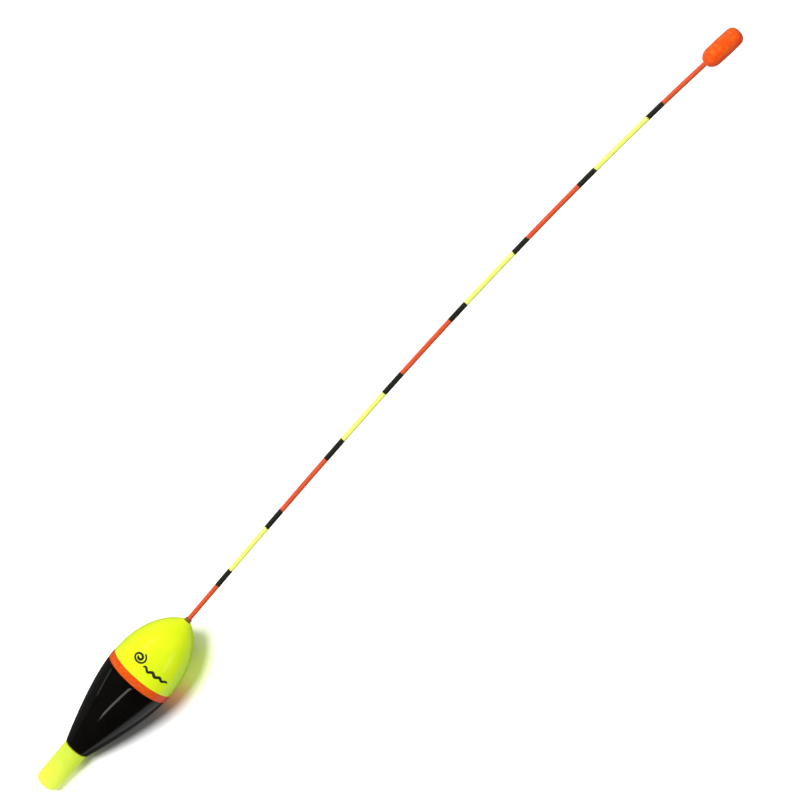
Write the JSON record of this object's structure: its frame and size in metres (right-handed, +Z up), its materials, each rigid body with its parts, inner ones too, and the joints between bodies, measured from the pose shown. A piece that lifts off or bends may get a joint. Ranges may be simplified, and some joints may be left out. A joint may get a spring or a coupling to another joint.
{
  "type": "bobber float",
  "caption": "Weighted antenna fishing float: teardrop body in fluorescent yellow, orange and black, a long thin banded antenna with an orange sight bead, and a pull-off tail.",
  "frame": {"origin": "on the floor that the float lies on, under the middle of its bounding box", "axes": "+X level along the float towards the antenna's tip, +Y across it, +Z up; the float's own axis rises by 10.2 degrees from the tail to the antenna"},
  "size_m": [0.341, 0.0246, 0.0675],
  "materials": {
    "tail_yellow": "satin",
    "dome_yellow": "gloss",
    "band_orange": "gloss",
    "gloss_black": "gloss",
    "antenna_paint": "gloss",
    "bead_orange": "satin",
    "ferrule_brown": "satin",
    "natural_plastic": "satin",
    "brass": "satin",
    "seal_rubber": "matte"
  },
  "bodies": {
    "tail": {"tail_cap": "tail_yellow"},
    "ballast_insert": {"tail_plug": "brass", "plug_o_ring": "seal_rubber", "weight_pin": "brass", "ballast_disc_1": "brass", "ballast_disc_2": "brass", "ballast_disc_3": "brass", "ballast_disc_4": "brass", "ballast_disc_5": "brass", "cushion_washer": "seal_rubber", "pin_nut": "brass"},
    "float_body": {"bottom_shell": "gloss_black", "joint_ring": "band_orange", "bulkhead": "natural_plastic", "top_shell": "dome_yellow", "antenna_socket": "natural_plastic", "antenna_grommet": "dome_yellow"},
    "antenna": {"antenna_ferrule": "ferrule_brown", "antenna_rod": "antenna_paint"},
    "tip_bead": {"sight_bead": "bead_orange"}
  },
  "joints": [
    {"name": "tail_cap_pull", "type": "slide", "parent": "tail", "child": "ballast_insert", "axis": [0.9843, 0, 0.1766], "range_m": [0, 0.013]},
    {"name": "ballast_insert_pull", "type": "slide", "parent": "ballast_insert", "child": "float_body", "axis": [0.9843, 0, 0.1766], "range_m": [0, 0.029]},
    {"name": "antenna_pull", "type": "slide", "parent": "float_body", "child": "antenna", "axis": [0.9843, 0, 0.1766], "range_m": [0, 0.02]},
    {"name": "bead_pull", "type": "slide", "parent": "antenna", "child": "tip_bead", "axis": [0.9788, -0.1053, 0.1756], "range_m": [0, 0.011]}
  ]
}
